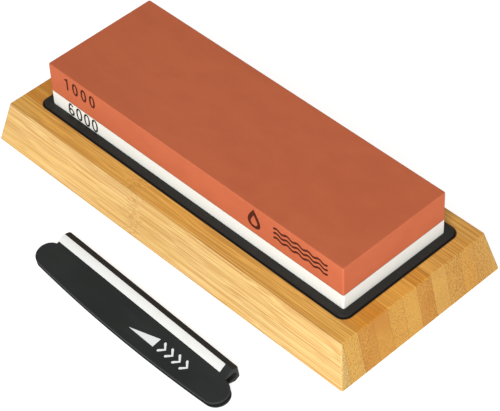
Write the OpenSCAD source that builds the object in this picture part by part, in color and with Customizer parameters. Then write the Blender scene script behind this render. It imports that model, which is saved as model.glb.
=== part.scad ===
// Two-layer sharpening stone in a rubber holder, on a glued bamboo base with rubber feet,
// and the clip-on angle guide that lies in front of it.
// +X runs along the stone, +Y across it to the back, and +Z up.
// The origin is the centre of the base's underside.

/* [Stone] */
// Length of the stone
stone_l = 180; // [150:1:210]
// Width of the stone
stone_w = 60; // [48:1:75]
// Thickness of the coarse layer, which faces up
coarse_t = 15.2; // [10:0.1:20]
// Thickness of the fine layer, which faces down
fine_t = 14.5; // [10:0.1:20]
// Thickness of the adhesive line between the layers
bond_t = 0.3; // [0.2:0.1:1]
// Radius of the stone's upright corners
stone_r = 0.8; // [0.4:0.1:3]

/* [Holder] */
// Width of the rubber rim around the stone
rim_w = 4; // [3:0.1:8]
// Thickness of the rubber under the stone
holder_floor = 2.2; // [1.5:0.1:5]
// How deep the stone sits in the holder
grip_h = 7.1; // [4:0.1:10]
// Outer corner radius of the holder
holder_r = 4; // [2:0.1:7]
// Clearance between the stone and the rim, on each side
stone_gap = 0.15; // [0.1:0.05:0.5]

/* [Base] */
// Height of the bamboo base
base_h = 21.1; // [14:0.1:30]
// Depth of the pocket that the holder sits in
pocket_d = 8.5; // [5:0.1:12]
// Clearance between the holder and the pocket, on each side
pocket_gap = 0.3; // [0.1:0.05:1]
// How far the pocket lies off the base's middle, to the right
pocket_shift_x = 1.1; // [-3:0.1:3]
// How far the pocket lies off the base's middle, to the back
pocket_shift_y = 1.2; // [-3:0.1:3]
// Bamboo left at each end of a pocket in the middle, at the top
end_border_w = 8.85; // [6:0.05:20]
// Bamboo left along each side of a pocket in the middle, at the top
side_border_w = 8.15; // [6:0.05:20]
// How far the sides lean out from top to bottom
bevel_run = 4.85; // [1:0.05:10]
// Width of the front edge strip at the underside
front_strip_w = 5.5; // [5:0.1:9]
// Width of the back edge strip at the underside
back_strip_w = 4; // [3:0.1:9]

/* [Feet] */
// Diameter of a rubber foot
foot_d = 10; // [6:0.5:14]
// Thickness of a rubber foot
foot_t = 2; // [1:0.1:4]
// How far a foot stands out of the underside
foot_proud = 0.6; // [0.3:0.1:0.9]
// Distance from the edges of the underside to a foot's centre
foot_inset = 15; // [10:1:25]
// Clearance around a foot in its recess
foot_gap = 0.1; // [0.05:0.05:0.5]

/* [Angle guide] */
// Length of the guide's spine
guide_l = 107.2; // [80:0.1:130]
// Height of the guide, from its back to the mouth of its slot
guide_h = 21.6; // [19:0.1:26]
// Radius of the rounded ears at the two ends of the jaws
ear_r = 6.1; // [5:0.1:7]
// How far the left ear reaches past the spine
left_reach = 4.3; // [2:0.1:6]
// How far the right ear reaches past the spine
right_reach = 6.8; // [2:0.1:8]
// How far the mouth line swells out between the ears
belly_swell = 1.9; // [1:0.1:3]
// Thickness at the back face
back_t = 5.9; // [5:0.1:7]
// Thickness at the ridge, the thickest line
ridge_t = 8.2; // [7.6:0.1:10]
// Distance from the back face to the ridge
ridge_v = 2.9; // [2:0.1:4]
// Distance from the back face to the outer edge of the ceramic strips
face_v = 6.65; // [6:0.05:8]
// Thickness at the outer edge of the ceramic strips
face_t = 4.8; // [4.6:0.1:6]
// Thickness at the mouth of the slot
mouth_t = 3.3; // [2.6:0.1:4]
// Height of the slot at its closed end
slot_h = 3.4; // [2:0.1:3.4]
// Height of the slot at its mouth
mouth_h = 1.1; // [0.6:0.1:1.5]
// Thickness of the wall behind the slot
back_wall = 1.6; // [1:0.1:2]
// Thickness of a ceramic strip at its edges
ceramic_t = 0.6; // [0.5:0.05:1]
// How far a ceramic strip crowns above its edges
ceramic_crown = 0.25; // [0.1:0.05:0.5]
// Length of the plastic left beyond the closed end of the ceramic strips
lip_l = 4.2; // [2:0.1:10]
// Distance along the base from its middle to the guide's left end
guide_x = -34.3; // [-60:0.1:-20]
// Gap between the base and the guide's left end
guide_gap = 20; // [8:0.1:60]
// Turn of the guide away from the base's length, in degrees
guide_yaw = -1.5; // [-8:0.05:8]

/* [Hidden] */
$fn = 64;
cut = 1; // overlap of a cutter past the face that it opens

strip_count = 12;
strip_names = [for (i = [1 : strip_count]) str("bamboo_strip_", i < 10 ? "0" : "", i)];
// Each foot's name and the corner that it is in
feet = [
    ["foot_front_left", -1, -1],
    ["foot_front_right", 1, -1],
    ["foot_back_left", -1, 1],
    ["foot_back_right", 1, 1],
];
foot_names = [for (f = feet) f[0]];

bamboo_tones = ["#e2b263", "#d9a650", "#c8913f", "#cf9a48"];
rubber_tone = "#30302e";
plastic_tone = "#2c2c2a";
ceramic_tone = "#efefea";

// Holder, pocket and base grow outwards from the stone
cavity_l = stone_l + 2 * stone_gap;
cavity_w = stone_w + 2 * stone_gap;
holder_l = cavity_l + 2 * rim_w;
holder_w = cavity_w + 2 * rim_w;
holder_h = holder_floor + grip_h;
pocket_l = holder_l + 2 * pocket_gap;
pocket_w = holder_w + 2 * pocket_gap;
base_l = pocket_l + 2 * end_border_w + 2 * bevel_run;
base_w = pocket_w + 2 * side_border_w + 2 * bevel_run;
lean = atan(bevel_run / base_h);

// Heights of the stack above the underside
pocket_z = base_h - pocket_d;
fine_z = pocket_z + holder_floor;
bond_z = fine_z + fine_t;
coarse_z = bond_z + bond_t;

// The strips between the two edge strips share the width that is left
strip_pitch = (base_w - front_strip_w - back_strip_w) / (strip_count - 2);
function strip_start(i) =
    i == 0 ? -base_w / 2 - cut : -base_w / 2 + front_strip_w + (i - 1) * strip_pitch;
function strip_end(i) =
    i == strip_count - 1 ? base_w / 2 + cut : -base_w / 2 + front_strip_w + i * strip_pitch;

// The guide lies on one side: its lower ridge and the lower edge of its mouth touch the ground
lie = atan((ridge_t - mouth_t) / 2 / (guide_h - ridge_v));
lie_z = ridge_v * sin(lie) + ridge_t / 2 * cos(lie);
ear_v = guide_h - belly_swell - ear_r; // from the back face to an ear's centre
left_ear_u = ear_r - left_reach;
right_ear_u = guide_l + right_reach - ear_r;
// The swell is an arc that is tangent to both ears
ear_half = (right_ear_u - left_ear_u) / 2;
belly_r = (pow(ear_half, 2) + pow(guide_h - ear_v, 2) - pow(ear_r, 2)) / (2 * belly_swell);
belly_turn = asin(ear_half / (belly_r - ear_r));
tangent_run = ear_half + ear_r * sin(belly_turn); // from the arc's middle to each tangent point
strip_run = face_v - ridge_v;
strip_drop = (ridge_t - face_t) / 2;
ceramic_w = sqrt(pow(strip_run, 2) + pow(strip_drop, 2));
ceramic_slope = atan(strip_drop / strip_run);
crown_r = (pow(ceramic_w / 2, 2) + pow(ceramic_crown, 2)) / (2 * ceramic_crown);

module rounded_slab(l, w, r, h) {
    linear_extrude(h) {
        square([l - 2 * r, w], center = true);
        square([l, w - 2 * r], center = true);
        for (x = [-1, 1], y = [-1, 1])
            translate([x * (l / 2 - r), y * (w / 2 - r)]) circle(r);
    }
}

// Centres its children on the pocket, at height z
module in_pocket(z) {
    translate([pocket_shift_x, pocket_shift_y, z]) children();
}

// Cutter whose lower edge lies on the underside's edge at x = reach, leaning inwards
module leaning_cutter(reach) {
    translate([reach, 0, 0]) rotate([0, -lean, 0])
        translate([0, -base_l, -base_h]) cube([base_h, 2 * base_l, 3 * base_h]);
}

module base_block() {
    difference() {
        translate([-base_l / 2, -base_w / 2, 0]) cube([base_l, base_w, base_h]);
        for (turn = [0, 180]) rotate([0, 0, turn]) leaning_cutter(base_l / 2);
        for (turn = [90, 270]) rotate([0, 0, turn]) leaning_cutter(base_w / 2);
        in_pocket(pocket_z) rounded_slab(pocket_l, pocket_w, holder_r + pocket_gap, pocket_d + cut);
        for (f = feet) at_foot(f)
            translate([0, 0, -cut]) cylinder(d = foot_d + 2 * foot_gap, h = cut + foot_t - foot_proud);
    }
}

module bamboo_strip(i) {
    color(bamboo_tones[i % len(bamboo_tones)])
        intersection() {
            base_block();
            translate([-base_l, strip_start(i), -cut])
                cube([2 * base_l, strip_end(i) - strip_start(i), base_h + 2 * cut]);
        }
}

module at_foot(f) {
    translate([f[1] * (base_l / 2 - foot_inset), f[2] * (base_w / 2 - foot_inset), 0]) children();
}

module foot(f) {
    color(rubber_tone) at_foot(f)
        translate([0, 0, -foot_proud]) cylinder(d = foot_d, h = foot_t);
}

module stone_holder() {
    color(rubber_tone) in_pocket(pocket_z) difference() {
        rounded_slab(holder_l, holder_w, holder_r, holder_h);
        translate([0, 0, holder_floor])
            rounded_slab(cavity_l, cavity_w, stone_r + stone_gap, grip_h + cut);
    }
}

module fine_stone() {
    color("#efeee9") in_pocket(fine_z) rounded_slab(stone_l, stone_w, stone_r, fine_t);
}

module bond_line() {
    color("#b98a6a") in_pocket(bond_z) rounded_slab(stone_l, stone_w, stone_r, bond_t);
}

module coarse_stone() {
    color("#c8683f") in_pocket(coarse_z) rounded_slab(stone_l, stone_w, stone_r, coarse_t);
}

// The guide is drawn with u along its spine, v from its back to its mouth,
// and its middle plane flat; guide_place() lays it on its side in front of the base.
module guide_place() {
    translate([guide_x, -base_w / 2 - guide_gap, lie_z - foot_proud])
        rotate([0, 0, guide_yaw]) rotate([lie, 0, 0]) children();
}

// Extrudes a (v, thickness) section from u to u + run
module along_spine(u, run) {
    translate([u, 0, 0]) rotate([90, 0, 90]) linear_extrude(run) scale([-1, 1]) children();
}

module guide_section() {
    polygon([
        [0, -back_t / 2], [ridge_v, -ridge_t / 2], [face_v, -face_t / 2],
        [guide_h, -mouth_t / 2], [guide_h, mouth_t / 2],
        [face_v, face_t / 2], [ridge_v, ridge_t / 2], [0, back_t / 2],
    ]);
}

module guide_slot() {
    slot_v = back_wall + slot_h / 2;
    translate([slot_v, 0]) circle(d = slot_h);
    polygon([
        [slot_v, -slot_h / 2], [guide_h + cut, -mouth_h / 2],
        [guide_h + cut, mouth_h / 2], [slot_v, slot_h / 2],
    ]);
}

// The outline seen square on: spine, ears and the swelling mouth line
module guide_outline() {
    square([guide_l, ear_v]);
    for (u = [left_ear_u, right_ear_u]) translate([u, ear_v]) circle(ear_r, $fn = 96);
    translate([left_ear_u + ear_half, 0]) intersection() {
        translate([0, guide_h - belly_r]) circle(belly_r, $fn = 360);
        translate([-tangent_run, ear_v]) square([2 * tangent_run, guide_h]);
    }
}

module ceramic_section() {
    intersection() {
        translate([0, -ceramic_t]) square([ceramic_w, ceramic_t + ceramic_crown]);
        translate([ceramic_w / 2, ceramic_crown - crown_r]) circle(crown_r, $fn = 180);
    }
}

module ceramic_bar() {
    along_spine(0, guide_l - lip_l)
        translate([ridge_v, ridge_t / 2]) rotate([0, 0, -ceramic_slope]) ceramic_section();
}

module guide_shell() {
    color(plastic_tone) guide_place() difference() {
        intersection() {
            mirror([0, 1, 0]) translate([0, 0, -ridge_t]) linear_extrude(2 * ridge_t) guide_outline();
            along_spine(-2 * ear_r, guide_l + 4 * ear_r) guide_section();
        }
        along_spine(-2 * ear_r, guide_l + 4 * ear_r) guide_slot();
        ceramic_bar();
        mirror([0, 0, 1]) ceramic_bar();
    }
}

module guide_strip_upper() {
    color(ceramic_tone) guide_place() ceramic_bar();
}

module guide_strip_lower() {
    color(ceramic_tone) guide_place() mirror([0, 0, 1]) ceramic_bar();
}

for (i = [0 : strip_count - 1]) bamboo_strip(i);
for (f = feet) foot(f);
stone_holder();
fine_stone();
bond_line();
coarse_stone();
guide_shell();
guide_strip_upper();
guide_strip_lower();
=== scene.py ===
"""A two-layer sharpening stone in a rubber holder, on a glued bamboo base, with its angle guide."""
import math

import bmesh
import bpy
from mathutils import Matrix, Vector


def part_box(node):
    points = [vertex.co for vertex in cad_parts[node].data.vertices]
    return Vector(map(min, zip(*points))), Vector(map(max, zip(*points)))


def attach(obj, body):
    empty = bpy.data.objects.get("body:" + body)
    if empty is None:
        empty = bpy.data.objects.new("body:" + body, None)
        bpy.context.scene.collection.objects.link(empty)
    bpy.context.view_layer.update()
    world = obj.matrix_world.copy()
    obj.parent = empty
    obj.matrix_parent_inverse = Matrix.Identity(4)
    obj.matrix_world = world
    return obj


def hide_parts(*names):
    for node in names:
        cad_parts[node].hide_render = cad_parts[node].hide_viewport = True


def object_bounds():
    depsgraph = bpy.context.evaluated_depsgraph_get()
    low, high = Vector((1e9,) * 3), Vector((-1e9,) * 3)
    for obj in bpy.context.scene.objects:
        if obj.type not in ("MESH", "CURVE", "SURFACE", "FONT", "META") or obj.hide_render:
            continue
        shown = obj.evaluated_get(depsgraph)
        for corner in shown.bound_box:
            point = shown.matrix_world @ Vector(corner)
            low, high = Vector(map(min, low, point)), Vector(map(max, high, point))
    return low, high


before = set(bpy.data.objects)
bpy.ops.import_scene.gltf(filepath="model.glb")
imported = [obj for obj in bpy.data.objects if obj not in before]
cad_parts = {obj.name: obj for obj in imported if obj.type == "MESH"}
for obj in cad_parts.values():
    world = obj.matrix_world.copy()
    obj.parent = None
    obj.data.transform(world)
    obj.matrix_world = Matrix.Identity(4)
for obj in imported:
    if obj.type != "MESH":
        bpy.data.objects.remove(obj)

cad_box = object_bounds()

mm = 0.001
quarter = math.pi / 2
full_turn = 2 * math.pi

# Base and pocket
bevel_run = 4.85 * mm
base_corner_r = 1.0 * mm
base_arris_r = 0.6 * mm
pocket_gap = 0.3 * mm
pocket_arris_r = 0.35 * mm
foot_gap = 0.1 * mm
foot_arris_r = 0.25 * mm

# Holder and stone
rim_w = 4.0 * mm
holder_r = 4.0 * mm
holder_arris_r = 0.6 * mm
cavity_r = 0.95 * mm
cavity_arris_r = 0.3 * mm
stone_r = 0.8 * mm
stone_arris_r = 0.45 * mm
seam_inset = 0.05 * mm

# Angle guide: u runs along its spine, v from its back to its mouth, h out of its middle plane.
# Outline: a rounded ear reaches past each end of the spine, and a belly swells between the ears
guide_l = 107.2 * mm
guide_h = 21.6 * mm
spine_corner_r = 0.9 * mm
ear_r = 6.1 * mm
left_reach = 4.3 * mm
right_reach = 6.8 * mm
belly_swell = 1.9 * mm
guide_arris_r = 0.55 * mm

# Section: where the ridge is and where the broad face begins, and half the thickness at the back,
# at the ridge, where the face begins and at the mouth
ridge_v = 2.9 * mm
face_v = 6.65 * mm
back_half = 2.95 * mm
ridge_half = 4.1 * mm
face_half = 2.4 * mm
mouth_half = 1.65 * mm

# Slot: the round closed end and where its middle is, and half the opening at the mouth
slot_r = 1.7 * mm
slot_v = 3.3 * mm
slot_mouth_half = 0.55 * mm

# Ceramic strips in their seats, and the lip of plastic past the seats' closed end
bar_t = 0.6 * mm
bar_crown = 0.25 * mm
bar_end_ease = 0.2 * mm
seat_gap = 0.02 * mm
lip_l = 4.2 * mm

# Where the guide lies: its left end along the base, its gap from the base, and its turn
guide_x = -34.3 * mm
guide_gap = 20.0 * mm
guide_yaw = math.radians(-1.5)

# How far a cutter reaches past what it cuts, and how far in from its edge a flat face begins
overrun = 1 * mm

# Heights and sizes taken from the frame
base_low, base_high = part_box("bamboo_strip_06")
front_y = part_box("bamboo_strip_01")[0].y
holder_low, holder_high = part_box("stone_holder")
fine_low, fine_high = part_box("fine_stone")
bond_low, bond_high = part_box("bond_line")
coarse_low, coarse_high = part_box("coarse_stone")
ground_z = cad_box[0].z

base_l = base_high.x - base_low.x
base_w = -2 * front_y
base_h = base_high.z
holder_l = holder_high.x - holder_low.x
holder_w = holder_high.y - holder_low.y
stone_l = coarse_high.x - coarse_low.x
stone_w = coarse_high.y - coarse_low.y
middle = (coarse_low + coarse_high) / 2
pocket_z = holder_low.z


# ---------------------------------------------------------------- shader arithmetic

class Value:
    """A shader socket that takes part in arithmetic: each operator adds one Math node."""

    def __init__(self, finish, socket):
        self.finish = finish
        self.socket = socket

    def _math(self, operation, *terms):
        return self.finish.node("ShaderNodeMath", {"operation": operation}, dict(enumerate(terms)))

    def __add__(self, other):
        return self._math("ADD", self, other)

    def __radd__(self, other):
        return self._math("ADD", other, self)

    def __sub__(self, other):
        return self._math("SUBTRACT", self, other)

    def __rsub__(self, other):
        return self._math("SUBTRACT", other, self)

    def __mul__(self, other):
        return self._math("MULTIPLY", self, other)

    def __rmul__(self, other):
        return self._math("MULTIPLY", other, self)

    def __abs__(self):
        return self._math("ABSOLUTE", self)

    def smaller(self, other):
        """Whichever of two values is smaller."""
        return self._math("MINIMUM", self, other)

    def larger(self, other):
        """Whichever of two values is larger."""
        return self._math("MAXIMUM", self, other)


class Finish:
    """One procedural material round a Principled shader. Its keyword values are the same all over."""

    def __init__(self, name, **fixed):
        self.material = bpy.data.materials.new(name)
        self.material.use_nodes = True
        self.tree = self.material.node_tree
        self.shader = self.tree.nodes["Principled BSDF"]
        for socket, value in fixed.items():
            self.shader.inputs[socket.replace("_", " ")].default_value = value
        self.spot = self.node("ShaderNodeTexCoord", output="Object")
        self.x, self.y, self.z = self.split(self.spot)

    def node(self, kind, settings=None, inputs=None, output=0):
        """Adds a node: its settings first, then the values or links of its sockets."""
        made = self.tree.nodes.new(kind)
        for key, value in (settings or {}).items():
            setattr(made, key, value)
        for key, value in (inputs or {}).items():
            self.feed(made.inputs[key], value)
        return Value(self, made.outputs[output])

    def feed(self, socket, value):
        """Links a shader value to a socket, or sets the socket to a plain value."""
        if isinstance(value, Value):
            self.tree.links.new(value.socket, socket)
        else:
            socket.default_value = value

    def split(self, vector):
        """The three coordinates of a vector."""
        node = self.tree.nodes.new("ShaderNodeSeparateXYZ")
        self.feed(node.inputs[0], vector)
        return [Value(self, out) for out in node.outputs]

    def join(self, x, y, z):
        """A vector from its three coordinates."""
        return self.node("ShaderNodeCombineXYZ", None, {0: x, 1: y, 2: z})

    def stretched(self, x, y, z):
        """The spot multiplied by a factor for each axis: one over the size of a feature there."""
        return self.node(
            "ShaderNodeVectorMath", {"operation": "MULTIPLY"}, {0: self.spot, 1: (x, y, z)}
        )

    def noise(self, vector, detail=2.0, roughness=0.5):
        """Smooth noise from 0 to 1 round a middle of 0.5."""
        return self.node(
            "ShaderNodeTexNoise",
            {"noise_dimensions": "3D"},
            {"Vector": vector, "Scale": 1.0, "Detail": detail, "Roughness": roughness},
        )

    def cells(self, vector):
        """Distance to the nearest of a scatter of points, one in each unit cell."""
        return self.node(
            "ShaderNodeTexVoronoi",
            {"voronoi_dimensions": "3D", "feature": "F1"},
            {"Vector": vector, "Scale": 1.0, "Randomness": 1.0},
        )

    def ease(self, value, start, end, low=0.0, high=1.0):
        """Turns smoothly from low to high as value goes from start to end."""
        return self.node(
            "ShaderNodeMapRange",
            {"interpolation_type": "SMOOTHSTEP", "clamp": True},
            {"Value": value, "From Min": start, "From Max": end, "To Min": low, "To Max": high},
        )

    def mix(self, share, first, second, blend="MIX"):
        """Mixes two colours: a Mix node's colour sockets are its sixth and seventh."""
        return self.node(
            "ShaderNodeMix",
            {"data_type": "RGBA", "blend_type": blend},
            {0: share, 6: first, 7: second},
            output=2,
        )

    def bump(self, height, depth, strength):
        """A normal tilted by a height from 0 to 1 that stands for a relief of the given depth."""
        return self.node(
            "ShaderNodeBump", None, {"Height": height, "Distance": depth, "Strength": strength}
        )

    def done(self, colour, roughness, normal=None):
        """Feeds the shader and gives the finished material."""
        self.feed(self.shader.inputs["Base Color"], colour)
        self.feed(self.shader.inputs["Roughness"], roughness)
        if normal is not None:
            self.feed(self.shader.inputs["Normal"], normal)
        return self.material


# ---------------------------------------------------------------- finishes

def rgb(red, green, blue):
    """An opaque colour, in linear light."""
    return (red, green, blue, 1.0)


def from_rounded_box(f, length, width, radius):
    """Distance outwards from a rounded rectangle round the stone's middle, seen from above."""
    past_x = abs(f.x - middle.x) - (length / 2 - radius)
    past_y = abs(f.y - middle.y) - (width / 2 - radius)
    past = f.join(past_x.larger(0.0), past_y.larger(0.0), 0.0)
    return f.node("ShaderNodeVectorMath", {"operation": "LENGTH"}, {0: past}, output=1) - radius


def bamboo(name, y_from, y_to, pale, deep, crowd_from, crowd_to, knot_x, seed):
    """Solid bamboo, from one glue line to the next: fibre bundles run along X, crowd towards one
    side, kink at the knot and show as dots on the end grain. Painted shade darkens the pocket's edge."""
    f = Finish(name, IOR=1.48, Specular_IOR_Level=0.25)
    across = f.ease(f.y, y_from, y_to)
    knot = f.ease(abs(f.x - knot_x), 0.0, 7 * mm, 1.0, 0.0)
    sway = f.noise(f.stretched(30, 130, 130), detail=1.0)
    kink = f.noise(f.stretched(260, 420, 420), detail=2.0)
    shift = (sway - 0.5) * (1.6 * mm) + (kink - 0.5) * knot * (3.2 * mm)
    y = f.y + shift + seed
    z = f.z - shift

    # As in stretched, a factor on a coordinate is one over the size of a feature along it
    distance = f.cells(f.join(f.x * 7 + seed * 700, y * 1500, z * 1500))
    crowd = across * (crowd_to - crowd_from) + crowd_from
    bundle = f.ease(distance - crowd * 0.24, 0.14, 0.28, 1.0, 0.0)
    streak = f.noise(f.join(f.x * 6 + seed * 300, y * 760, z * 760), detail=3.0, roughness=0.65)
    fine = f.noise(f.join(f.x * 16, y * 2300, z * 2300), detail=1.0)
    cloud = f.noise(f.join(f.x * 22 + seed * 90, y * 60, z * 60), detail=1.0)
    facing = f.node("ShaderNodeTexCoord", output="Normal")
    end_grain = f.ease(abs(f.split(facing)[0]), 0.5, 0.9)

    body = f.mix(f.ease(cloud, 0.3, 0.7), pale, deep)
    body = f.mix(f.ease(streak, 0.42, 0.68, 0.0, 0.6), body, deep)
    body = f.mix(end_grain, body, rgb(0.76, 0.81, 0.74), "MULTIPLY")
    bundle_share = bundle * (crowd * 0.4 + end_grain * 0.62 + 0.22)
    body = f.mix(bundle_share, body, rgb(0.30, 0.118, 0.010))
    body = f.mix(f.ease(fine, 0.42, 0.64, 0.0, 0.62), body, rgb(0.38, 0.165, 0.028))
    knot_line = f.ease(abs(f.x - knot_x + shift * 1.5), 0.2 * mm, 1.0 * mm, 1.0, 0.0)
    broken = f.ease(kink, 0.45, 0.6, 0.0, 0.3)
    body = f.mix(knot_line * broken + knot * 0.06, body, rgb(0.25, 0.09, 0.018))
    to_glue = (f.y - y_from).smaller(y_to - f.y)
    glue = f.ease(to_glue, 0.06 * mm, 0.24 * mm, 0.4, 0.0)
    body = f.mix(glue, body, rgb(0.22, 0.085, 0.02))
    # Painted shade: near the top, the wood round the pocket is darkened almost to black where the gap
    # round the holder lies in shade.
    to_rim = from_rounded_box(f, holder_l, holder_w, holder_r)
    painted_gap_shade = f.ease(to_rim, pocket_gap + 0.3 * mm, pocket_gap + 0.85 * mm, 0.95, 0.0)
    near_top = f.ease(f.z, base_h - 2.5 * mm, base_h - 0.5 * mm)
    body = f.mix(painted_gap_shade * near_top, body, rgb(0.02, 0.009, 0.004))

    height = streak * 0.4 + fine * 0.35 - bundle * 0.5 - glue * 0.6
    roughness = f.ease(streak, 0.3, 0.7, 0.42, 0.56)
    return f.done(body, roughness, f.bump(height, 0.06 * mm, 0.5))


def worn_and_highlit_arris(f, face_z, reach):
    """Share of wear and painted highlight: full on the edges round the working face, gone within reach
    of them.
    """
    to_end = stone_l / 2 - abs(f.x - middle.x)
    to_long_side = stone_w / 2 - abs(f.y - middle.y)
    to_side = to_end.smaller(to_long_side)
    upright = to_end.larger(to_long_side)
    to_face = abs(f.z - face_z)
    return f.ease(to_side.larger(to_face).smaller(upright), 0.1 * mm, reach, 1.0, 0.0)


def bonded_abrasive(name, ground, light, dark, face_z, mottle):
    """Grit in a bond: even colour, faint clouds, and specks of single grains."""
    f = Finish(name, IOR=1.45, Specular_IOR_Level=0.25)
    cloud = f.noise(f.stretched(70, 110, 110), detail=3.0, roughness=0.55)
    drift = f.noise(f.stretched(16, 24, 60), detail=1.0)
    grain = f.noise(f.stretched(2600, 2600, 2600), detail=2.0, roughness=0.7)
    speck = f.ease(f.cells(f.stretched(900, 900, 900)), 0.06, 0.2, 1.0, 0.0)
    colour = f.mix(f.ease(cloud + drift * 0.6, 0.55, 1.05, 0.0, mottle), ground, dark)
    colour = f.mix(f.ease(grain, 0.5, 0.8, 0.0, 0.3), colour, light)
    colour = f.mix(speck * 0.35, colour, dark)
    wear_and_highlight = worn_and_highlit_arris(f, face_z, 0.9 * mm)
    # Lighter edges: part wear, part painted highlight along the stone's arrises, upright corners
    # included.
    colour = f.mix(wear_and_highlight * 0.15, colour, light)
    height = grain * 0.7 - speck * 0.5
    return f.done(colour, f.ease(grain, 0.3, 0.7, 0.82, 0.95), f.bump(height, 0.05 * mm, 0.6))


def rubber(name, ground, light, shade_z):
    """Moulded rubber: a fine grain, a little dust and rubbed patches, in deep shade below shade_z."""
    f = Finish(name, IOR=1.5, Specular_IOR_Level=0.28)
    grain = f.noise(f.stretched(2400, 2400, 2400), detail=2.0)
    dust = f.noise(f.stretched(160, 160, 160), detail=4.0, roughness=0.7)
    rubbed = f.noise(f.stretched(35, 35, 90), detail=2.0)
    colour = f.mix(f.ease(dust, 0.5, 0.75, 0.0, 0.4), ground, light)
    colour = f.mix(f.ease(grain, 0.62, 0.8, 0.0, 0.35), colour, light)
    low = f.ease(f.z, shade_z - 0.1 * mm, shade_z + 0.1 * mm, 1.0, 0.0)
    colour = f.mix(low, colour, rgb(0.002, 0.002, 0.002))
    roughness = f.ease(rubbed, 0.35, 0.65, 0.5, 0.66) + low * 0.3
    return f.done(colour, roughness, f.bump(grain, 0.03 * mm, 0.5))


def adhesive(name):
    """The cured line between the two layers, with squeezed-out lumps."""
    f = Finish(name, IOR=1.45)
    lump = f.noise(f.stretched(300, 300, 900), detail=3.0)
    colour = f.mix(f.ease(lump, 0.35, 0.7), rgb(0.13, 0.045, 0.02), rgb(0.22, 0.09, 0.045))
    return f.done(colour, f.ease(lump, 0.3, 0.7, 0.6, 0.8), f.bump(lump, 0.05 * mm, 0.5))


def moulded_plastic(name):
    """Satin black moulding: fine texture, slight flow clouds and hairline scuffs."""
    f = Finish(name, IOR=1.5, Specular_IOR_Level=0.12)
    texture = f.noise(f.stretched(3200, 3200, 3200), detail=1.0)
    flow = f.noise(f.stretched(28, 70, 70), detail=2.0)
    scuff = f.noise(f.stretched(90, 2600, 2600), detail=2.0, roughness=0.6)
    colour = f.mix(f.ease(flow, 0.35, 0.7), rgb(0.0145, 0.0165, 0.0155), rgb(0.0195, 0.0215, 0.0205))
    colour = f.mix(f.ease(scuff, 0.66, 0.8, 0.0, 0.3), colour, rgb(0.07, 0.07, 0.068))
    roughness = f.ease(flow, 0.35, 0.65, 0.44, 0.54)
    return f.done(colour, roughness, f.bump(texture, 0.02 * mm, 0.4))


def ground_ceramic(name):
    """White ceramic, ground along its length."""
    f = Finish(name, IOR=1.6, Coat_Weight=0.15, Coat_Roughness=0.2)
    scratch = f.noise(f.stretched(60, 3000, 3000), detail=2.0)
    stain = f.noise(f.stretched(120, 300, 300), detail=3.0)
    colour = f.mix(f.ease(stain, 0.5, 0.8, 0.0, 0.35), rgb(0.61, 0.61, 0.585), rgb(0.55, 0.55, 0.52))
    return f.done(colour, f.ease(scratch, 0.3, 0.7, 0.22, 0.36), f.bump(scratch, 0.02 * mm, 0.35))


def ink(name, solid, thin):
    """Printed ink, a little thinner where the ground under it is rough."""
    f = Finish(name, IOR=1.45, Specular_IOR_Level=0.1)
    starved = f.noise(f.stretched(2200, 2200, 2200), detail=2.0)
    colour = f.mix(f.ease(starved, 0.5, 0.75, 0.0, 0.5), solid, thin)
    return f.done(colour, f.ease(starved, 0.3, 0.7, 0.6, 0.8), f.bump(starved, 0.02 * mm, 0.4))


def studio_floor(name):
    """Plain pale board, faintly lit from below so that shadows stay soft."""
    f = Finish(name, Specular_IOR_Level=0.1, Emission_Strength=0.72)
    f.feed(f.shader.inputs["Emission Color"], rgb(1.0, 1.0, 1.0))
    tooth = f.noise(f.stretched(300, 300, 300), detail=2.0)
    colour = f.mix(f.ease(tooth, 0.3, 0.7, 0.0, 0.3), rgb(0.51, 0.51, 0.51), rgb(0.49, 0.49, 0.49))
    return f.done(colour, f.ease(tooth, 0.3, 0.7, 0.85, 0.95))


# ---------------------------------------------------------------- mesh tools

# Which side in X and Y each corner of a rectangle is on, anticlockwise
CORNERS = ((1, 1), (-1, 1), (-1, -1), (1, -1))


def placed(name, data):
    """A new object in the scene."""
    made = bpy.data.objects.new(name, data)
    bpy.context.scene.collection.objects.link(made)
    return made


def piece(name, skin, material, body, node=None, crease=35):
    """Turns a bmesh into a named piece that rides on a body and stands for a CAD node."""
    mesh = bpy.data.meshes.new(name)
    bmesh.ops.recalc_face_normals(skin, faces=skin.faces)
    skin.to_mesh(mesh)
    skin.free()
    mesh.polygons.foreach_set("use_smooth", [True] * len(mesh.polygons))
    mesh.set_sharp_from_angle(angle=math.radians(crease))
    mesh.materials.append(material)
    made = placed(name, mesh)
    steady = made.modifiers.new("flat faces stay flat", "WEIGHTED_NORMAL")
    steady.keep_sharp = True
    steady.weight = 100
    if node:
        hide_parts(node)
    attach(made, body)


def rounded_loop(middle_x, middle_y, length, width, radius, z, steps=6):
    """Points of a level rounded rectangle, anticlockwise."""
    points = []
    for turn, (side_x, side_y) in enumerate(CORNERS):
        centre = Vector((
            middle_x + side_x * (length / 2 - radius), middle_y + side_y * (width / 2 - radius), z
        ))
        for step in range(steps + 1):
            angle = (turn + step / steps) * quarter
            points.append(centre + radius * Vector((math.cos(angle), math.sin(angle), 0)))
    return points


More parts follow.
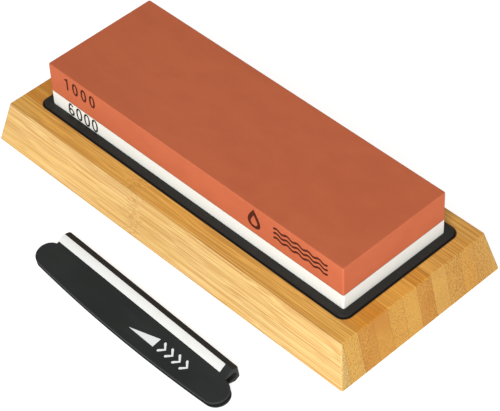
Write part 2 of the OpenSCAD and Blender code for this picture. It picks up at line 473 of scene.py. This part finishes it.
def eased_profile(corners, steps=5):
    """Rounds the corners of an open profile. Each corner is (inset, z, plan radius, arris radius)."""
    profile = []
    for i, (inset, z, plan_r, arris_r) in enumerate(corners):
        if arris_r == 0 or i in (0, len(corners) - 1):
            profile.append((inset, z, plan_r))
            continue
        here = Vector((inset, z))
        back = (Vector(corners[i - 1][:2]) - here).normalized()
        on = (Vector(corners[i + 1][:2]) - here).normalized()
        half = back.angle(on) / 2
        centre = here + (back + on).normalized() * arris_r / math.sin(half)
        start = here + back * arris_r / math.tan(half) - centre
        turn = start.angle_signed(here + on * arris_r / math.tan(half) - centre)
        for step in range(steps + 1):
            # angle_signed is clockwise, and so is a rotation by minus the angle
            spot = centre + Matrix.Rotation(-turn * step / steps, 2) @ start
            profile.append((spot.x, spot.y, plan_r))
    return profile


def band(skin, first, second):
    """Four-sided faces all the way round between two rings of points."""
    for i in range(len(first)):
        j = (i + 1) % len(first)
        skin.faces.new((first[i], first[j], second[j], second[i]))


def loft(loops):
    """A closed skin through loops that have the same number of points, capped at both ends."""
    skin = bmesh.new()
    rows = [[skin.verts.new(point) for point in loop] for loop in loops]
    for lower, upper in zip(rows, rows[1:]):
        band(skin, lower, upper)
    skin.faces.new(rows[0][::-1])
    skin.faces.new(rows[-1])
    return skin


def loops_of(centre, length, width, profile):
    """Rounded rectangles at each height of a profile of (inset, z, plan radius)."""
    return [
        rounded_loop(centre[0], centre[1], length - 2 * inset, width - 2 * inset, plan_r, z)
        for inset, z, plan_r in profile
    ]


def slab(centre, length, width, corners):
    """A block whose rounded outline follows a profile of corners, from its underside up."""
    return loft(loops_of(centre, length, width, eased_profile(corners)))


def as_solid(skin, name):
    """A scratch object for a boolean cut."""
    mesh = bpy.data.meshes.new(name)
    bmesh.ops.recalc_face_normals(skin, faces=skin.faces)
    skin.to_mesh(mesh)
    skin.free()
    return placed(name, mesh)


def carve(skin, cutters):
    """Takes the cutters out of a solid and gives the rest back as a bmesh."""
    solid = as_solid(skin, "blank")
    tools = [as_solid(cutter, "cutter") for cutter in cutters]
    for tool in tools:
        cut = solid.modifiers.new("cut", "BOOLEAN")
        cut.object = tool
        cut.operation = "DIFFERENCE"
        cut.solver = "EXACT"
    bpy.context.view_layer.update()
    result = bmesh.new()
    result.from_object(solid, bpy.context.evaluated_depsgraph_get())
    for scrap in [solid, *tools]:
        bpy.data.objects.remove(scrap)
    return result


def keep_between(skin, front, back):
    """Slices a closed solid to what lies between two upright planes along X, and closes the cuts."""
    for plane_y, outward in ((front, -1.0), (back, 1.0)):
        cut = bmesh.ops.bisect_plane(
            skin,
            geom=skin.verts[:] + skin.edges[:] + skin.faces[:],
            plane_co=(0.0, plane_y, 0.0),
            plane_no=(0.0, outward, 0.0),
            clear_outer=True,
        )
        edges = [part for part in cut["geom_cut"] if isinstance(part, bmesh.types.BMEdge)]
        rim = [edge for edge in edges if edge.is_valid and edge.is_boundary]
        if rim:
            bmesh.ops.holes_fill(skin, edges=rim, sides=0)


# ---------------------------------------------------------------- bamboo base and feet

FEET = ("foot_front_left", "foot_front_right", "foot_back_left", "foot_back_right")

PALE = rgb(0.63, 0.43, 0.17)
STRAW = rgb(0.64, 0.365, 0.085)
HONEY = rgb(0.67, 0.35, 0.066)
GOLD = rgb(0.63, 0.295, 0.043)
AMBER = rgb(0.52, 0.195, 0.018)
TAN = rgb(0.59, 0.305, 0.066)

# A strip without a knot has it past the end of the base
NO_KNOT = 140 * mm

# Each strip, front to back: lighter tone, deeper tone, how crowded its bundles are at its front
# and at its back side, and where its knot is along the base
STRIPS = [
    (PALE, rgb(0.58, 0.37, 0.12), 0.45, 0.55, -19 * mm),
    (STRAW, HONEY, 0.45, 0.55, -24 * mm),
    (GOLD, rgb(0.48, 0.165, 0.012), 0.95, 0.60, 64 * mm),
    (GOLD, AMBER, 0.20, 0.05, -70 * mm),
    (HONEY, GOLD, 0.60, 0.40, 15 * mm),
    (HONEY, GOLD, 0.25, 0.10, NO_KNOT),
    (GOLD, AMBER, 0.80, 1.00, -52 * mm),
    (HONEY, TAN, 0.10, 0.05, 38 * mm),
    (GOLD, TAN, 0.80, 1.00, -88 * mm),
    (TAN, GOLD, 0.60, 0.60, 79 * mm),
    (STRAW, TAN, 0.95, 0.60, -35 * mm),
    (STRAW, HONEY, 0.45, 0.50, 5 * mm),
]


def disc(radius, z_low, z_high, centre, arris_r=0.0, steps=40):
    """An upright disc with eased edges."""
    profile = eased_profile([
        (radius, z_low, 0, 0), (0, z_low, 0, arris_r), (0, z_high, 0, arris_r), (radius, z_high, 0, 0),
    ], 3)
    loops = []
    for inset, z, _ in profile[1:-1]:
        reach = radius - inset
        loops.append([
            Vector((centre.x + reach * math.cos(angle), centre.y + reach * math.sin(angle), z))
            for angle in (full_turn * step / steps for step in range(steps))
        ])
    return loft(loops)


def base_block():
    """The whole glued block, with its pocket and the recesses for its feet. The outside's last
    corner and the pocket's first one only set the slope there, so they are left out of the skin."""
    outside = eased_profile([
        (overrun / 2, 0, base_corner_r, 0),
        (0, 0, base_corner_r, base_arris_r / 2),
        (bevel_run, base_h, base_corner_r, base_arris_r),
        (bevel_run + 2 * overrun, base_h, base_corner_r, 0),
    ])[:-1]
    pocket_r = holder_r + pocket_gap
    pocket = eased_profile([
        (-2 * overrun, base_h, pocket_r, 0),
        (0, base_h, pocket_r, pocket_arris_r),
        (0, pocket_z, pocket_r, 0),
    ])[1:]
    pocket_l = holder_l + 2 * pocket_gap
    pocket_w = holder_w + 2 * pocket_gap
    block = loft(
        loops_of((0, 0), base_l, base_w, outside) + loops_of(middle, pocket_l, pocket_w, pocket)
    )
    recesses = []
    for foot in FEET:
        low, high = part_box(foot)
        centre = (low + high) / 2
        recesses.append(disc((high.x - low.x) / 2 + foot_gap, -overrun, high.z, centre))
    return carve(block, recesses)


def make_base():
    """Slices the block into its glued strips, each of its own wood."""
    block = base_block()
    for i, (pale, deep, crowd_from, crowd_to, knot_x) in enumerate(STRIPS, 1):
        node = f"bamboo_strip_{i:02d}"
        low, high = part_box(node)
        strip = block.copy()
        keep_between(strip, low.y, high.y)
        wood = bamboo(
            f"bamboo_{i:02d}", low.y, high.y, pale, deep, crowd_from, crowd_to, knot_x, seed=0.037 * i
        )
        piece(f"strip_{i:02d}", strip, wood, "base", node)
    block.free()


def make_feet():
    """A rubber pad in each recess under the base."""
    matte = rubber("foot_rubber", rgb(0.016, 0.016, 0.016), rgb(0.05, 0.05, 0.048), ground_z)
    for foot in FEET:
        low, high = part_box(foot)
        pad = disc((high.x - low.x) / 2, low.z, high.z, (low + high) / 2, foot_arris_r)
        piece(f"{foot}_pad", pad, matte, "base", foot)


# ---------------------------------------------------------------- holder and stone

def make_holder():
    """The rubber tray that grips the stone, with its rim just above the bamboo."""
    tray = slab(middle, holder_l, holder_w, [
        (overrun, holder_low.z, holder_r, 0),
        (0, holder_low.z, holder_r, holder_arris_r),
        (0, holder_high.z, holder_r, holder_arris_r),
        (rim_w, holder_high.z, cavity_r, cavity_arris_r),
        (rim_w, fine_low.z, cavity_r, 0),
    ])
    satin = rubber(
        "holder_rubber", rgb(0.0115, 0.0105, 0.0085), rgb(0.028, 0.026, 0.022), base_h + 0.55 * mm
    )
    piece("holder_tray", tray, satin, "holder", "stone_holder")


def make_stone():
    """The coarse layer over the fine one, with the adhesive between them."""
    coarse = slab(middle, stone_l, stone_w, [
        (0, coarse_low.z, stone_r, 0),
        (0, coarse_high.z, stone_r, stone_arris_r),
        (overrun, coarse_high.z, stone_r, 0),
    ])
    orange = bonded_abrasive(
        "coarse_abrasive", rgb(0.44, 0.107, 0.043), rgb(0.50, 0.14, 0.062), rgb(0.385, 0.085, 0.035),
        coarse_high.z, 0.5,
    )
    piece("coarse_layer", coarse, orange, "stone", "coarse_stone")

    seam = slab(middle, stone_l - 2 * seam_inset, stone_w - 2 * seam_inset, [
        (0, bond_low.z, stone_r, 0), (0, bond_high.z, stone_r, 0),
    ])
    piece("bond_seam", seam, adhesive("adhesive"), "stone", "bond_line")

    fine = slab(middle, stone_l, stone_w, [
        (overrun, fine_low.z, stone_r, 0),
        (0, fine_low.z, stone_r, stone_arris_r),
        (0, fine_high.z, stone_r, 0),
    ])
    white = bonded_abrasive(
        "fine_abrasive", rgb(0.655, 0.655, 0.615), rgb(0.70, 0.70, 0.66), rgb(0.60, 0.60, 0.555),
        fine_low.z, 0.3,
    )
    piece("fine_layer", fine, white, "stone", "fine_stone")


# ---------------------------------------------------------------- printed marks

# Ink stands this far out of the face, and as far into it
ink_t = 0.03 * mm


def side_points(path, reach, closed):
    """The path moved sideways by reach, to its left."""
    moved = []
    count = len(path)
    for i, point in enumerate(path):
        before = path[i - 1] if closed or i > 0 else point
        after = path[(i + 1) % count] if closed or i < count - 1 else point
        along = (after - before).normalized()
        moved.append(point + reach * Vector((-along.y, along.x)))
    return moved


def round_end(tip, inner, steps=5):
    """Points of the half circle past the end of a stroke, from inner round to the other side."""
    arm = inner - tip
    return [tip + Matrix.Rotation(-math.pi * step / steps, 2) @ arm for step in range(1, steps)]


def stroke(path, width, closed=False):
    """Outlines of a pen stroke: one for an open stroke, two for a ring."""
    left = side_points(path, width / 2, closed)
    right = side_points(path, -width / 2, closed)
    if closed:
        return left, right
    return (left + round_end(path[-1], left[-1]) + right[::-1] + round_end(path[0], right[0]),)


def print_marks(name, marks, place, paint, body):
    """Thin solid ink. A mark is one outline, or an outer and an inner one for a ring, and place
    turns a flat point and a height into a point in space."""
    skin = bmesh.new()
    for mark in marks:
        rows = []
        for height in (-ink_t, ink_t):
            rows.append([[skin.verts.new(place(p, height)) for p in line] for line in mark])
        for low, high in zip(*rows):
            band(skin, low, high)
        for row in rows:
            if len(row) == 1:
                skin.faces.new(row[0])
            else:
                band(skin, *row)
    piece(name, skin, paint, body, crease=60)


def oval(centre, half_w, half_h, power=2.0, steps=40):
    """A closed oval; a power above 2 makes its sides straighter."""
    points = []
    for step in range(steps):
        angle = full_turn * step / steps
        across, up = math.cos(angle), math.sin(angle)
        points.append(centre + Vector((
            math.copysign(abs(across) ** (2 / power), across) * half_w,
            math.copysign(abs(up) ** (2 / power), up) * half_h,
        )))
    return points


def digit(figure, corner, height, pen):
    """The strokes of a 0, 1 or 6 that has its lower left corner at a point."""
    width = height * 0.55
    centre = corner + Vector((width / 2, height / 2))
    half_w = (width - pen) / 2
    half_h = (height - pen) / 2
    if figure == "0":
        return [stroke(oval(centre, half_w, half_h, 2.3), pen, True)]
    if figure == "1":
        stem_x = width * 0.62
        stem = [corner + Vector((stem_x, y)) for y in (pen / 2, height - pen / 2)]
        flag = [
            corner + Vector((stem_x - height * 0.2, height * 0.8)),
            corner + Vector((stem_x - pen * 0.6, height - pen)),
        ]
        return [stroke(stem, pen), stroke(flag, pen * 0.8)]
    bowl_h = height * 0.6
    bowl_centre = corner + Vector((width / 2, bowl_h / 2))
    bowl = stroke(oval(bowl_centre, half_w, (bowl_h - pen) / 2), pen, True)
    tail = [
        centre + Vector((half_w * math.cos(angle), half_h * math.sin(angle)))
        for angle in (math.radians(48 + step * 12) for step in range(12))
    ]
    return [bowl, stroke(tail, pen)]


def figures(text, corner, height, pitch, pen):
    """A row of figures from a lower left corner."""
    return [
        mark
        for i, figure in enumerate(text)
        for mark in digit(figure, corner + Vector((i * pitch, 0)), height, pen)
    ]


def wave(start, run, rise, waves, pen):
    """A pen line to the right of start that swings by rise to both sides."""
    steps = waves * 12
    return stroke([
        start + Vector((run * i / steps, rise * math.sin(full_turn * waves * i / steps)))
        for i in range(steps + 1)
    ], pen)


def drop(centre, half_w, half_h, steps=36):
    """A water drop, pointed at its top."""
    points = []
    for step in range(steps):
        angle = full_turn * (step + 0.5) / steps
        reach = half_w * math.sin(angle) * math.sin(angle / 2) ** 1.4
        points.append(centre + Vector((reach, half_h * math.cos(angle))))
    return points


def on_stone_front(point, height):
    """Flat marks are drawn from the stone's left end, with y as height above the holder's rim."""
    return Vector((coarse_low.x + point.x, coarse_low.y - height, holder_high.z + point.y))


def make_stone_marks():
    """A grit number on each layer, and a drop with waves, because the stone is soaked before use."""
    brown = ink("brown_ink", rgb(0.06, 0.011, 0.005), rgb(0.13, 0.028, 0.012))
    black = ink("black_ink", rgb(0.02, 0.018, 0.016), rgb(0.12, 0.11, 0.10))
    top = coarse_high.z - holder_high.z

    corner = Vector((9.75 * mm, top - 8.75 * mm))
    coarse_grit = figures("1000", corner, height=6.8 * mm, pitch=5.65 * mm, pen=1.1 * mm)
    print_marks("coarse_grit_mark", coarse_grit, on_stone_front, brown, "stone")

    corner = Vector((10.9 * mm, 0))
    fine_grit = figures("6000", corner, height=7.1 * mm, pitch=5.25 * mm, pen=1.0 * mm)
    print_marks("fine_grit_mark", fine_grit, on_stone_front, black, "stone")

    drop_at = Vector((129.2 * mm, top - 6.9 * mm))
    hollow_at = drop_at - Vector((0, 1.0 * mm))
    soak = [(drop(drop_at, 5.2 * mm, 5.4 * mm), drop(hollow_at, 2.7 * mm, 2.9 * mm))]
    for row in (-1, 0, 1):
        start = Vector((141 * mm, drop_at.y + row * 2.6 * mm))
        soak.append(wave(start, run=30 * mm, rise=0.55 * mm, waves=5, pen=1.15 * mm))
    print_marks("soak_mark", soak, on_stone_front, brown, "stone")


# ---------------------------------------------------------------- angle guide

lie = math.atan((ridge_half - mouth_half) / (guide_h - ridge_v))
lie_z = ridge_v * math.sin(lie) + ridge_half * math.cos(lie)
guide_place = (
    Matrix.Translation((guide_x, front_y - guide_gap, ground_z + lie_z))
    @ Matrix.Rotation(guide_yaw, 4, "Z")
    @ Matrix.Rotation(lie, 4, "X")
)
ear_v = guide_h - belly_swell - ear_r
left_ear_u = ear_r - left_reach
right_ear_u = guide_l + right_reach - ear_r
ear_half = (right_ear_u - left_ear_u) / 2
belly_r = (ear_half ** 2 + (guide_h - ear_v) ** 2 - ear_r ** 2) / (2 * belly_swell)
belly_turn = math.asin(ear_half / (belly_r - ear_r))
shoulder_slope = math.atan((ridge_half - face_half) / (face_v - ridge_v))
shoulder_middle = Vector(((ridge_v + face_v) / 2, (ridge_half + face_half) / 2))
bar_w = math.hypot(face_v - ridge_v, ridge_half - face_half)
bar_l = guide_l - lip_l


def arc(centre, radius, start, end, steps):
    """Points along an arc between two angles."""
    return [
        Vector(centre) + radius * Vector((math.cos(angle), math.sin(angle)))
        for angle in (start + (end - start) * step / steps for step in range(steps + 1))
    ]


def guide_outline():
    """The guide seen square on, anticlockwise, with its back along the top."""
    left = math.pi - math.acos(left_ear_u / ear_r)
    right = quarter + math.asin((right_ear_u - guide_l) / ear_r)
    middle_u = left_ear_u + ear_half
    down = -quarter
    points = arc((guide_l - spine_corner_r, -spine_corner_r), spine_corner_r, 0.0, quarter, 6)
    points += arc((spine_corner_r, -spine_corner_r), spine_corner_r, quarter, math.pi, 6)
    points += arc((left_ear_u, -ear_v), ear_r, left, full_turn + down - belly_turn, 28)
    points += arc((middle_u, belly_r - guide_h), belly_r, down - belly_turn, down + belly_turn, 40)[1:-1]
    points += arc((right_ear_u, -ear_v), ear_r, down + belly_turn, right, 28)
    return points


def half_thickness(v):
    """How far the guide's face stands from its middle plane at a distance v from its back."""
    section = [(0.0, back_half), (ridge_v, ridge_half), (face_v, face_half), (guide_h, mouth_half)]
    for (v0, h0), (v1, h1) in zip(section, section[1:]):
        if v <= v1 + 1e-9:
            return h0 + (h1 - h0) * (v - v0) / (v1 - v0)
    return mouth_half


def guide_blank():
    """The guide without its slot and seats: the outline, as thick as the section says."""
    flat = bmesh.new()
    flat.faces.new([flat.verts.new((p.x, p.y, 0)) for p in guide_outline()])
    for v in (ridge_v, face_v):
        bmesh.ops.bisect_plane(
            flat, geom=flat.verts[:] + flat.edges[:] + flat.faces[:],
            plane_co=(0, -v, 0), plane_no=(0, 1, 0),
        )
    solid = bmesh.new()
    upper, lower = [
        {
            vert.index: solid.verts.new((vert.co.x, vert.co.y, side * half_thickness(-vert.co.y)))
            for vert in flat.verts
        }
        for side in (1, -1)
    ]
    for half in (upper, lower):
        for face in flat.faces:
            solid.faces.new([half[vert.index] for vert in face.verts])
    for edge in flat.edges:
        if edge.is_boundary:
            start, end = (vert.index for vert in edge.verts)
            solid.faces.new((upper[start], upper[end], lower[end], lower[start]))
    flat.free()
    return solid


def along_u(section, start, end):
    """A bar with a section of (y, h) points, from one distance along the spine to another."""
    return loft([[Vector((u, y, h)) for y, h in section] for u in (start, end)])


def slot_section():
    """The blade's slot: round at its closed end, and tapering to its mouth."""
    mouth = -(guide_h + overrun)
    steps = 16
    closed_end = [
        (slot_r * math.sin(angle) - slot_v, slot_r * math.cos(angle))
        for angle in (math.pi * step / steps for step in range(steps + 1))
    ]
    return closed_end + [(mouth, -slot_mouth_half), (mouth, slot_mouth_half)]


def on_shoulder(side, across, height):
    """A section point, from a distance across the shoulder towards the guide's back and one out of
    it; side 1 is the upper shoulder and -1 the lower one."""
    down_slope = Vector((math.cos(shoulder_slope), -math.sin(shoulder_slope)))
    out = Vector((math.sin(shoulder_slope), math.cos(shoulder_slope)))
    v, h = shoulder_middle - down_slope * across + out * height
    return (-v, side * h)


def bar_section(side, inset):
    """A ceramic strip in its seat, with a crowned face."""
    half = bar_w / 2 - inset
    edge_h = -0.15 * mm
    section = [(half, inset - bar_t), (half, edge_h)]
    steps = 9
    for step in range(steps + 1):
        share = 0.96 * (1 - 2 * step / steps)
        section.append((half * share, bar_crown * (1 - share ** 2) - inset / 2))
    section += [(-half, edge_h), (-half, inset - bar_t)]
    return [on_shoulder(side, across, height) for across, height in section]


def seat_cutter(side):
    """Room for a ceramic strip, open above it and at the guide's left end."""
    half = bar_w / 2 + seat_gap
    section = [
        on_shoulder(side, across, height)
        for across, height in ((half, -bar_t), (half, overrun), (-half, overrun), (-half, -bar_t))
    ]
    return along_u(section, -overrun, bar_l)


def ease_edges(skin, radius, steps, chosen):
    """Rounds the edges that chosen says yes to."""
    edges = [edge for edge in skin.edges if edge.is_manifold and chosen(edge)]
    bmesh.ops.bevel(
        skin, geom=edges, offset=radius, offset_type="OFFSET", segments=steps, profile=0.5,
        affect="EDGES", clamp_overlap=True,
    )


def outer_rim(edge):
    """An edge between a broad outer face and the upright wall round the outline, but not the one
    where a seat ends."""
    close = 0.05 * mm
    upright = [abs(face.normal.z) < 0.2 for face in edge.link_faces]
    outside = all(abs(vert.co.z) > half_thickness(-vert.co.y) - close for vert in edge.verts)
    at_lip = all(abs(vert.co.x - bar_l) < close for vert in edge.verts)
    return upright.count(True) == 1 and outside and not at_lip


def make_guide():
    """The moulding with its slot and seats, and a ceramic strip in each seat."""
    past_ears = 20 * mm
    slot = along_u(slot_section(), -past_ears, guide_l + past_ears)
    shell = carve(guide_blank(), [slot, seat_cutter(1), seat_cutter(-1)])
    bmesh.ops.remove_doubles(shell, verts=shell.verts, dist=0.005 * mm)
    bmesh.ops.dissolve_limit(shell, angle_limit=math.radians(0.5), verts=shell.verts, edges=shell.edges)
    shell.normal_update()
    ease_edges(shell, guide_arris_r, 4, outer_rim)
    bmesh.ops.remove_doubles(shell, verts=shell.verts, dist=0.001 * mm)
    shell.normal_update()
    bmesh.ops.transform(shell, matrix=guide_place, verts=shell.verts)
    black = moulded_plastic("guide_plastic")
    piece("guide_body", shell, black, "guide", "guide_shell")

    white = ground_ceramic("guide_ceramic")
    eased_end = bar_l - bar_end_ease
    rows = [(0.0, bar_end_ease), (bar_end_ease, 0.0), (eased_end, 0.0), (bar_l, bar_end_ease)]
    for name, node, side in (
        ("guide_bar_upper", "guide_strip_upper", 1), ("guide_bar_lower", "guide_strip_lower", -1),
    ):
        bar = loft([[Vector((u, y, h)) for y, h in bar_section(side, inset)] for u, inset in rows])
        bmesh.ops.transform(bar, matrix=guide_place, verts=bar.verts)
        piece(name, bar, white, "guide", node)


def on_guide_face(point, height):
    """Flat marks on the guide's upper face, with x along the spine and y up from the mouth side."""
    return guide_place @ Vector((point.x, point.y, half_thickness(-point.y) + height))


def make_guide_mark():
    """A wedge for the angle it sets, and arrows for the way the blade is drawn."""
    white = ink("white_ink", rgb(0.62, 0.64, 0.64), rgb(0.45, 0.46, 0.46))
    pen = 1.1 * mm
    tip = Vector((57.5 * mm, -16.2 * mm))
    heel = tip + Vector((15 * mm, 0))
    marks = [([tip, heel, heel + Vector((0, 4.6 * mm))],)]
    arm = 2.1 * mm
    arrow_pitch = 4.5 * mm
    first_arrow = tip + Vector((20.2 * mm, 2.3 * mm))
    for i in range(4):
        point = first_arrow + Vector((i * arrow_pitch, 0))
        marks.append(stroke([point + Vector((-arm, arm)), point, point + Vector((-arm, -arm))], pen))
    print_marks("guide_mark", marks, on_guide_face, white, "guide")


# ---------------------------------------------------------------- studio

# The floor lies a little below the feet, so that their undersides aren't in its plane
floor_drop = 0.02 * mm
floor_reach = 3.0
sky_strength = 0.5

# The camera's place in metres, its turn, downward tilt and lean in degrees, and its lens in mm
camera_at = Vector((0.48845, -0.43122, 0.64308))
camera_turn = 48.196
camera_tilt = 44.77
camera_lean = -3.206
lens_length = 150.68
sensor_width = 36


def softbox(name, azimuth, elevation, distance, size, power):
    """A square soft light aimed at the middle of the object; azimuth 0 is in front of it."""
    lamp = bpy.data.lights.new(name, "AREA")
    lamp.shape = "SQUARE"
    lamp.size = size
    lamp.energy = power
    made = placed(name, lamp)
    turn = math.radians(azimuth)
    rise = math.radians(elevation)
    away = Vector((math.sin(turn) * math.cos(rise), -math.cos(turn) * math.cos(rise), math.sin(rise)))
    made.location = away * distance
    made.rotation_mode = "QUATERNION"
    made.rotation_quaternion = away.to_track_quat("Z", "Y")


def make_studio():
    """A pale floor, an even white surround and one soft key light."""
    board = bmesh.new()
    corners = [(side_x * floor_reach, side_y * floor_reach) for side_x, side_y in CORNERS]
    board.faces.new([board.verts.new((x, y, ground_z - floor_drop)) for x, y in corners])
    mesh = bpy.data.meshes.new("floor")
    board.to_mesh(mesh)
    board.free()
    mesh.materials.append(studio_floor("floor"))
    placed("floor", mesh)

    world = bpy.data.worlds.new("studio")
    world.use_nodes = True
    sky = world.node_tree.nodes["Background"]
    sky.inputs["Color"].default_value = rgb(1.0, 1.0, 1.0)
    sky.inputs["Strength"].default_value = sky_strength
    bpy.context.scene.world = world
    bpy.context.scene.view_settings.view_transform = "Standard"
    softbox("key", azimuth=37, elevation=30, distance=1.3, size=0.9, power=22.5)


def make_camera():
    """Looks down on the stone's front and right end from afar."""
    lens = bpy.data.cameras.new("camera")
    lens.sensor_width = sensor_width
    lens.lens = lens_length
    lens.clip_start = 0.01
    lens.clip_end = 20
    made = placed("camera", lens)
    made.matrix_world = (
        Matrix.Translation(camera_at)
        @ Matrix.Rotation(math.radians(camera_turn), 4, "Z")
        @ Matrix.Rotation(math.radians(90 - camera_tilt), 4, "X")
        @ Matrix.Rotation(math.radians(camera_lean), 4, "Z")
    )
    bpy.context.scene.camera = made


make_camera()
make_studio()
make_base()
make_feet()
make_holder()
make_stone()
make_stone_marks()
make_guide()
make_guide_mark()
